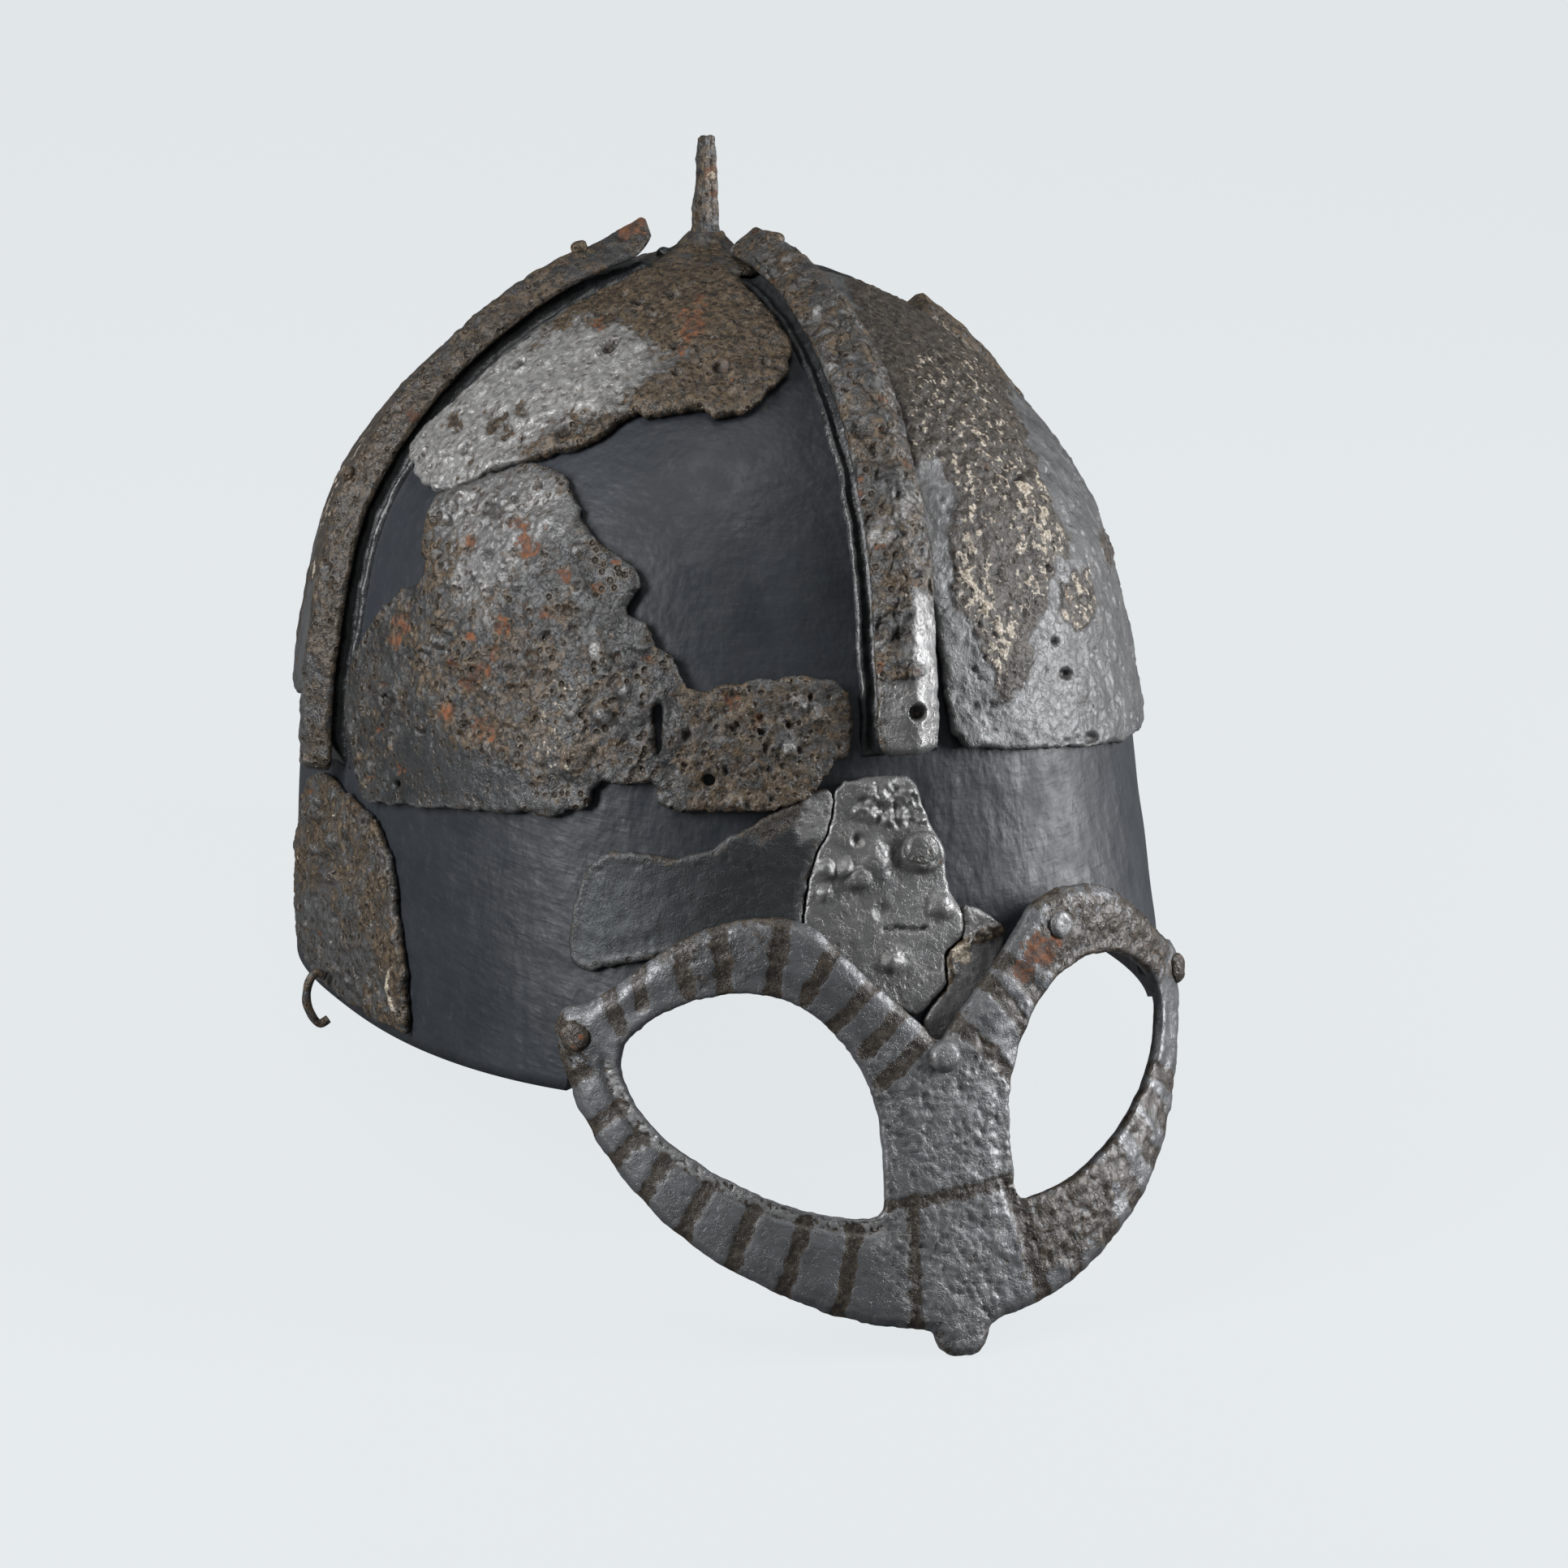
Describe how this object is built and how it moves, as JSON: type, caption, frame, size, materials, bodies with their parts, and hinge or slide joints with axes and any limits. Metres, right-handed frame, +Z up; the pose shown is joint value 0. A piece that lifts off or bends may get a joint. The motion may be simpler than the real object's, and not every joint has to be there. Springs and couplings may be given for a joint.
{
  "type": "norse iron spectacle helmet on a support shell",
  "caption": "Riveted iron helmet fragments with ridge bands, crown spike and spectacle face guard on a slate painted support shell",
  "frame": {"origin": "on the surface that it rests on, under the middle of the whole object's box", "axes": "-Y is the way the wearer looks, +X is the wearer's left, +Z is up with the helmet laid back at rest on its nape rim and nose guard"},
  "size_m": [0.2026, 0.281, 0.2143],
  "materials": {
    "painted_shell": "slate grey paint brushed over a moulded shell, satin, with fine brush ripples",
    "pitted_iron": "cleaned blue-grey iron, pitted, with orange rust spots and worn bright high places",
    "rusty_iron": "brown corroded iron with cracked flakes, grey worn places and cream crust specks",
    "guard_iron": "dull grey iron with brown inlaid grooves across its bars"
  },
  "bodies": {
    "root": {"support_shell": "painted_shell", "plate_front_right_upper": "pitted_iron", "plate_front_right_lower": "pitted_iron", "plate_front_left": "rusty_iron", "plate_rear_right": "rusty_iron", "plate_rear_left": "rusty_iron", "brow_fragment_side": "pitted_iron", "brow_fragment_dark": "rusty_iron", "brow_fragment_light": "pitted_iron", "brow_strip": "pitted_iron", "band_front": "rusty_iron", "band_right": "pitted_iron", "band_rear": "rusty_iron", "band_left": "rusty_iron", "band_front_pin": "rusty_iron", "band_front_rivet": "rusty_iron", "band_right_rivet_high": "rusty_iron", "band_right_rivet_low": "rusty_iron", "crown_patch": "rusty_iron", "crown_spike": "rusty_iron", "mail_hook": "pitted_iron", "spectacle_guard": "guard_iron", "guard_knob_nose": "guard_iron", "guard_rivet_arch": "rusty_iron", "guard_rivet_right": "rusty_iron", "guard_rivet_left": "rusty_iron", "brow_rivet_large": "pitted_iron", "brow_rivet_small": "pitted_iron"}
  },
  "joints": []
}
